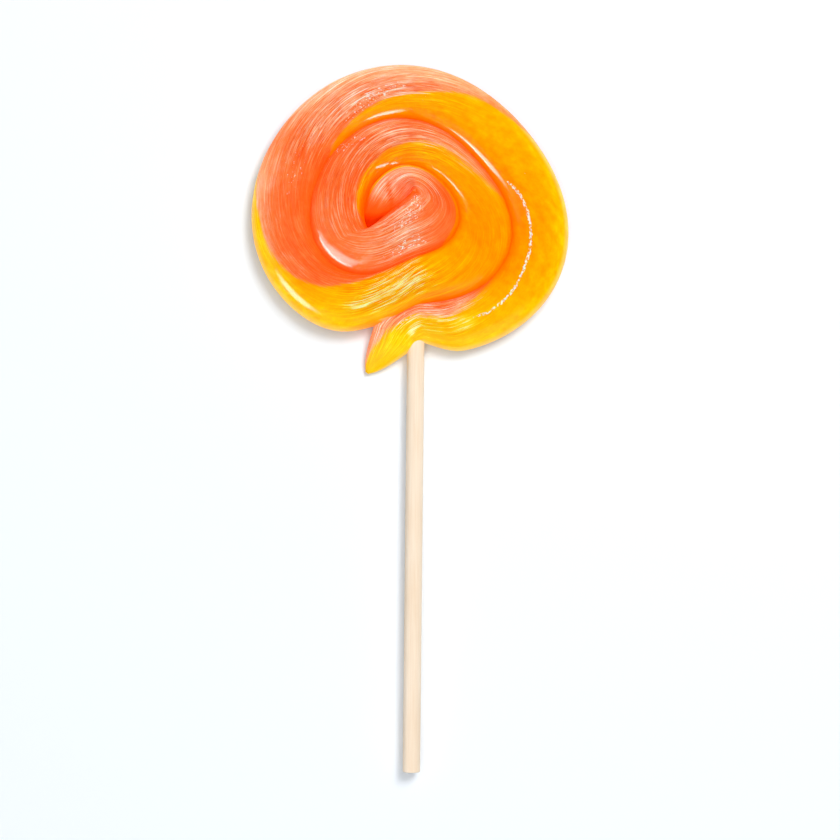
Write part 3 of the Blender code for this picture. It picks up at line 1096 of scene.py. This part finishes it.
@dataclass(frozen=True)
class SugarFinish:
    """Glossy boiled sugar in two colours, with threads along the strands and painted light and
    shade.
    """

    # Coral and amber run from deep to pale, partly the sugar's own tone and partly painted light
    # and shade; the top stop is a painted sheen.
    tone_stops: Row = (0.0, 0.33, 0.66, 0.82, 1.0)
    coral: tuple[tuple, ...] = (
        rgba(0.95, 0.115, 0.010), rgba(0.97, 0.215, 0.055), rgba(0.98, 0.47, 0.26),
        rgba(1.0, 0.58, 0.38), rgba(1.0, 0.85, 0.72),
    )
    amber: tuple[tuple, ...] = (
        rgba(0.98, 0.24, 0.0), rgba(1.0, 0.385, 0.0), rgba(1.0, 0.60, 0.002), rgba(1.0, 0.70, 0.03),
        rgba(1.0, 0.95, 0.48),
    )
    crease_shade_amber: tuple = rgba(0.99, 0.17, 0.0)
    crease_shade_coral: tuple = rgba(0.97, 0.10, 0.006)
    pocket: tuple = rgba(0.55, 0.028, 0.0)
    painted_rim_light: tuple = rgba(1.0, 0.62, 0.25)
    painted_glint_colour: tuple = rgba(1.0, 0.95, 0.85)
    groove_shade_coral: tuple = rgba(0.84, 0.33, 0.17)
    groove_shade_amber: tuple = rgba(0.97, 0.58, 0.25)
    core_crease_shade: tuple = rgba(0.97, 0.085, 0.0)
    threads: Grain = Grain((0.03, 1.0, 1.0), 3.2, 3.0, 0.7)
    fine: Grain = Grain((0.03, 1.0, 1.0), 7.04, 2.0, 0.7)
    cloud: Grain = Grain((0.5, 1.0, 1.0), 0.16, 2.0, 0.5)
    mottle: Grain = Grain((0.7, 1.0, 1.0), 0.55, 3.0, 0.65)
    grit: Grain = Grain((0.5, 1.0, 1.0), 2.8, 2.0, 0.6)
    boundary: float = 0.35
    fray: float = 3.0
    blotch: float = 0.7
    streak_gains: Triple = (0.9, 3.0, 2.6)
    silk_power: float = 1.3
    cloud_gain: float = 0.2
    mottle_gain: float = 1.1
    tone_span: float = 1.5
    crease_shade_curve: Pair = (1.5, 0.85)
    core_shade_curve: Pair = (6.0, 0.8)
    groove_shade_width: float = 0.05
    groove_shade_share: float = 0.9
    pocket_shade_light: Pair = (0.0, -0.45)
    rim_shares: Pair = (0.4, 0.3)
    painted_glint_gain: float = 0.3
    painted_glint_range: Pair = (0.37, 0.43)
    bead_curve: Pair = (5.0, 0.75)
    bead_range: Pair = (0.45, 0.8)
    painted_glint_share: float = 0.85
    glow_gains: Pair = (0.7, 0.05)
    rough_curve: Pair = (0.6, 0.8)
    roughness: Pair = (0.07, 0.24)
    thread_relief: float = 0.8
    relief: Pair = (0.00025, 0.8)
    coat_gains: Triple = (0.9, 0.2, 0.015)
    depth: float = 0.0028
    painted_glow: float = 0.5

    def material(self) -> bpy.types.Material:
        """Makes the material.

        Returns:
            The material.
        """
        graph = Graph("pulled_sugar")
        fibre = graph.attribute("fibre", "Vector")
        strand, silk, thread, light, seam = map(
            graph.attribute, ("strand", "silk", "thread", "light", "seam")
        )
        wet, sparkle, crease, rim, flank = map(
            graph.attribute, ("wet", "sparkle", "crease", "rim", "flank")
        )
        grains = (self.threads, self.fine, self.cloud, self.mottle, self.grit)
        threads, fine, cloud, mottle, grit = (grain.over(fibre) - 0.5 for grain in grains)
        apart = strand + threads * self.fray + mottle * self.blotch
        strand = graph.ramp(apart, -self.boundary, self.boundary)
        # Streaks: the sugar's own streaky tone, with painted light on the ridges and painted shade
        # between them.
        ridge, coarse, thin = self.streak_gains
        streak_tone_and_ridge_light = (thread * ridge + threads * coarse + fine * thin) * silk**self.silk_power
        mottle = mottle * (self.mottle_gain - silk * self.mottle_gain)
        # The tone sums the painted light and shade, the streaks and the sugar's own cloud and
        # mottle.
        tone = (light + streak_tone_and_ridge_light + cloud * self.cloud_gain + mottle) / self.tone_span
        coral, amber = (graph.stops(tone, self.tone_stops, row) for row in (self.coral, self.amber))
        # Painted shade in the creases and the core's pocket: a deeper, redder orange.
        crease_shade = graph.mix(strand, self.crease_shade_amber, self.crease_shade_coral)
        (power, share), (core_power, core_share) = self.crease_shade_curve, self.core_shade_curve
        colour = graph.mix(crease**power * share, graph.mix(strand, amber, coral), crease_shade)
        colour = graph.mix(crease**core_power * core_share, colour, self.core_crease_shade)
        # Painted shade in thin dark lines along the threads.
        groove_shade = (1 - graph.ramp(abs(threads), 0.0, self.groove_shade_width)) * silk * self.groove_shade_share
        line = graph.mix(strand, self.groove_shade_amber, self.groove_shade_coral)
        colour = colour * graph.mix(groove_shade, rgba(1, 1, 1), line)
        # Painted shade in the pocket: where the light values fall below 0, the colour goes dark
        # red.
        pocket_shade_share = graph.ramp(light, *self.pocket_shade_light)
        colour = graph.mix(pocket_shade_share, colour, self.pocket)
        # Painted light on the outline, where light comes through the thin edge: paler, more on
        # amber than on coral.
        on_amber, less_on_coral = self.rim_shares
        colour = graph.mix(rim * (on_amber - strand * less_on_coral), colour, self.painted_rim_light)
        # Painted glints: pale specks along the fibres in the glint zones and on the seam's beads,
        # which also get a bump and more coat.
        painted_glints = graph.ramp(grit + sparkle * self.painted_glint_gain, *self.painted_glint_range)
        gritty, even = self.bead_curve
        beads = graph.ramp(seam * (grit * gritty + even), *self.bead_range)
        painted_glints_and_beads = graph.ramp(painted_glints + beads, 0.0, 1.0)
        colour = graph.mix(painted_glints_and_beads * self.painted_glint_share, colour, self.painted_glint_colour)
        # Painted glow: emission stands in for light that comes out through the sugar, on the steep
        # skin and the ends, and none in the pocket's painted shade.
        steep, level = self.glow_gains
        painted_glow = (flank * steep + level) * (1 - pocket_shade_share)
        middle, full = self.rough_curve
        wet_coat, bright_coat, thin_coat = self.coat_gains
        relief = (fine + threads * self.thread_relief) * silk + painted_glints_and_beads
        return graph.principled(
            {
                "Base Color": colour,
                "Roughness": graph.ramp(silk * (middle + fine), 0.0, full, *self.roughness),
                "Normal": graph.bump(relief, *self.relief),
                "Subsurface Weight": 0.6,
                "Subsurface Radius": (1.0, 0.45, 0.1),
                "Subsurface Scale": self.depth,
                "Specular IOR Level": 0.02,
                "Coat Weight": wet * wet_coat + painted_glints_and_beads * bright_coat + thin_coat,
                "Coat IOR": 2.0,
                "Coat Roughness": 0.06,
                "Emission Color": colour * painted_glow,
                "Emission Strength": self.painted_glow,
            }
        )


@dataclass(frozen=True)
class BirchFinish:
    """Plain pale wood with a fine straight grain."""

    light: tuple = rgba(0.93, 0.76, 0.58)
    dark: tuple = rgba(0.87, 0.66, 0.46)
    grain: Grain = Grain((1.0, 0.03, 1.0), 2600.0, 4.0, 0.6)
    blotch: Grain = Grain((1.0, 0.3, 1.0), 180.0, 2.0, 0.5)
    shares: Pair = (0.6, 0.4)
    tone_range: Pair = (0.3, 0.7)
    roughness: float = 0.55
    relief: Pair = (0.00005, 0.5)

    def material(self) -> bpy.types.Material:
        """Makes the material.

        Returns:
            The material.
        """
        graph = Graph("birch")
        place = graph.output("ShaderNodeTexCoord", {}, {}, "Object")
        grain = self.grain.over(place)
        tone = grain * self.shares[0] + self.blotch.over(place) * self.shares[1]
        return graph.principled(
            {
                "Base Color": graph.mix(graph.ramp(tone, *self.tone_range), self.dark, self.light),
                "Roughness": self.roughness,
                "Normal": graph.bump(grain, *self.relief),
            }
        )


class Use(Enum):
    """What a softbox is for."""

    LIGHT = "light the scene, unseen in reflections"
    SHINE = "show in reflections only"


@dataclass(frozen=True)
class Softbox:
    """A rectangular light aimed at the middle of the head."""

    name: str
    use: Use
    azimuth: float
    height: float
    distance: float
    width: float
    depth: float
    power: float

    def build(self) -> None:
        """Builds the light."""
        lamp = bpy.data.lights.new(self.name, "AREA")
        lamp.shape = "RECTANGLE"
        lamp.size = self.width
        lamp.size_y = self.depth
        lamp.energy = self.power
        box = bpy.data.objects.new(self.name, lamp)
        turn, up = math.radians(self.azimuth), math.radians(self.height)
        away = Vector((math.cos(turn) * math.cos(up), math.sin(turn) * math.cos(up), math.sin(up)))
        box.location = away * self.distance
        box.rotation_euler = away.to_track_quat("Z", "Y").to_euler()
        box.visible_glossy = self.use is Use.SHINE
        box.visible_diffuse = self.use is Use.LIGHT
        box.visible_transmission = self.use is Use.LIGHT
        bpy.context.scene.collection.objects.link(box)


@dataclass
class Studio:
    """A plain white table, soft lights and the camera over it."""

    view_width: float = 0.216
    view_centre: Pair = (0.00283, -0.0540)
    focus_height: float = 0.004
    lens: float = 100.0
    sensor: float = 36.0
    floor_size: float = 4.0
    floor_roughness: float = 0.8
    floor_colour: tuple = rgba(0.895, 0.93, 0.97)
    sky_colour: tuple = rgba(0.75, 0.88, 1.0)
    sky_strength: float = 0.2
    softboxes: tuple[Softbox, ...] = (
        Softbox("key", Use.LIGHT, 50.0, 60.0, 0.9, 0.36, 0.36, 5.2),
        Softbox("fill", Use.LIGHT, 90.0, 88.0, 1.2, 1.2, 1.2, 6.9),
        Softbox("back", Use.LIGHT, 262.0, 50.0, 0.9, 0.4, 0.4, 0.8),
        Softbox("near", Use.SHINE, 290.0, 28.0, 0.7, 0.5, 0.6, 4.8),
        Softbox("west", Use.SHINE, 220.0, 36.0, 0.7, 0.85, 0.5, 6.0),
        Softbox("low", Use.SHINE, 225.0, 12.0, 0.7, 0.78, 0.28, 3.6),
    )

    def build(self) -> None:
        """Builds the floor, lights, sky and camera."""
        self.floor()
        self.sky()
        for softbox in self.softboxes:
            softbox.build()
        self.camera()

    def floor(self) -> None:
        """A plain white surface under the lollipop."""
        bpy.ops.mesh.primitive_plane_add(size=self.floor_size)
        floor = bpy.context.object
        floor.name = "floor"
        finish = {"Base Color": self.floor_colour, "Roughness": self.floor_roughness}
        floor.data.materials.append(Graph("table").principled(finish))

    def sky(self) -> None:
        """Even, slightly cool light from all round."""
        world = bpy.data.worlds.new("studio")
        world.use_nodes = True
        background = world.node_tree.nodes["Background"]
        background.inputs["Color"].default_value = self.sky_colour
        background.inputs["Strength"].default_value = self.sky_strength
        bpy.context.scene.world = world

    def camera(self) -> None:
        """The camera, straight above the lollipop."""
        camera = bpy.data.objects.new("camera", bpy.data.cameras.new("camera"))
        camera.data.lens = self.lens
        camera.data.sensor_width = self.sensor
        height = self.view_width * self.lens / self.sensor
        camera.location = (*self.view_centre, self.focus_height + height)
        bpy.context.scene.collection.objects.link(camera)
        bpy.context.scene.camera = camera
        bpy.context.scene.view_settings.view_transform = "Standard"


def main() -> None:
    """Builds the lollipop and the studio round it."""
    logging.basicConfig(level=logging.INFO, format="%(name)s: %(message)s")
    candy = Candy().build()
    log.info("%s: %d faces", candy.name, len(candy.data.polygons))
    candy.data.materials.append(SugarFinish().material())
    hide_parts(Body.CANDY.value)
    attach(candy, Body.ROOT.value)
    stick = Stick().build()
    log.info("%s: %d faces", stick.name, len(stick.data.polygons))
    stick.data.materials.append(BirchFinish().material())
    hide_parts(Body.STICK.value)
    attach(stick, Body.ROOT.value)
    studio = Studio()
    studio.build()
    log.info("studio: %d softboxes", len(studio.softboxes))


if __name__ == "__main__":
    main()
